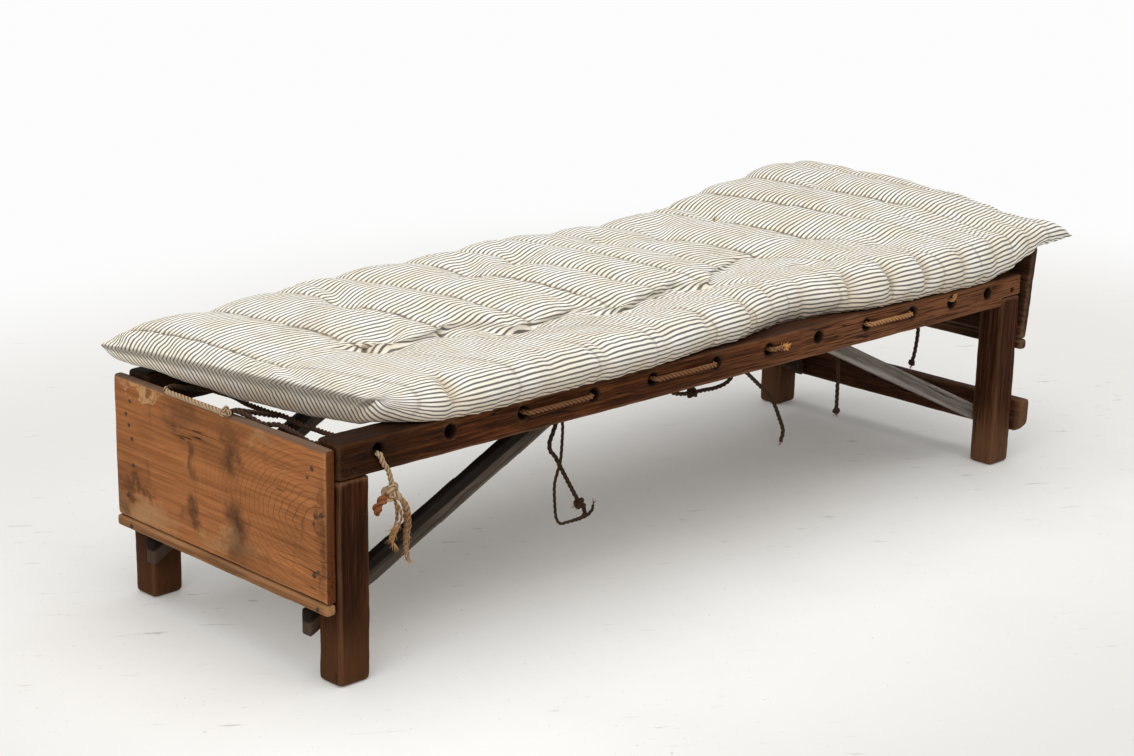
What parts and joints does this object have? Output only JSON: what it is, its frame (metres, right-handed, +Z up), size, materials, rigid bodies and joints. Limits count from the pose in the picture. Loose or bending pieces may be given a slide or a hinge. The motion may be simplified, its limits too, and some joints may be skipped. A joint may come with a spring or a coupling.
{
  "type": "rope bed",
  "caption": "Low plank bed: pegged side rails on square legs, laced with rope through bored holes, under a loose striped ticking mattress that runs up over a leaning head board.",
  "frame": {"origin": "on the floor, under the middle of the bed's outer box, which the mattress sets along its length", "axes": "+X along the bed towards the head, +Y across it to the far side, +Z up"},
  "size_m": [2.012, 0.7501, 0.5772],
  "materials": {
    "dark_wood": "dark worn oiled oak",
    "panel_wood": "warm worn pine, rubbed",
    "grey_wood": "dry unfinished old board",
    "peg_wood": "dark end grain",
    "iron": "rusted cut nail",
    "hemp_rope": "old twisted hemp",
    "pale_rope": "pale twisted sisal",
    "dark_cord": "dark twisted cord",
    "ticking": "cream cotton ticking with charcoal stripes"
  },
  "bodies": {
    "frame": {"side_rail_near": "dark_wood", "side_rail_far": "dark_wood", "leg_foot_near": "dark_wood", "leg_foot_far": "dark_wood", "leg_head_near": "dark_wood", "leg_head_far": "dark_wood", "head_stretcher": "dark_wood", "foot_panel": "panel_wood", "foot_panel_strip": "panel_wood", "head_board": "grey_wood", "head_board_strip": "grey_wood", "brace_foot_near": "grey_wood", "brace_foot_far": "grey_wood", "brace_head_near": "grey_wood", "brace_head_far": "grey_wood", "rail_peg_foot_near": "peg_wood", "rail_peg_foot_far": "peg_wood", "rail_peg_head_near": "peg_wood", "rail_peg_head_far": "peg_wood", "foot_panel_nail_1": "iron", "foot_panel_nail_2": "iron", "foot_panel_nail_3": "iron", "foot_panel_nail_4": "iron", "foot_strip_nail_1": "iron", "foot_strip_nail_2": "iron", "head_board_nail_1": "iron", "head_board_nail_2": "iron", "head_strip_nail_1": "iron", "head_strip_nail_2": "iron", "head_stretcher_nail_1": "iron", "head_stretcher_nail_2": "iron", "brace_foot_near_nail_1": "iron", "brace_foot_near_nail_2": "iron", "brace_foot_far_nail_1": "iron", "brace_foot_far_nail_2": "iron", "brace_head_near_nail_1": "iron", "brace_head_near_nail_2": "iron", "brace_head_far_nail_1": "iron", "brace_head_far_nail_2": "iron", "lacing_foot": "hemp_rope", "lacing_middle": "hemp_rope", "lacing_head": "hemp_rope", "stopper_knot_foot": "hemp_rope", "stopper_knot_middle": "hemp_rope", "stopper_knot_head": "hemp_rope", "panel_rope": "pale_rope", "tail_rope": "pale_rope", "tail_knot": "pale_rope", "tail_frayed_end": "pale_rope", "tail_short_end": "pale_rope", "loop_cord": "dark_cord", "sagging_cord": "dark_cord", "curved_cord": "dark_cord", "straight_cord": "dark_cord", "short_cord": "dark_cord"},
    "mattress": {"mattress_pad": "ticking"}
  },
  "joints": [
    {"name": "mattress_lift", "type": "slide", "parent": "frame", "child": "mattress", "axis": [0, 0, 1], "range_m": [0, 0.25]}
  ]
}
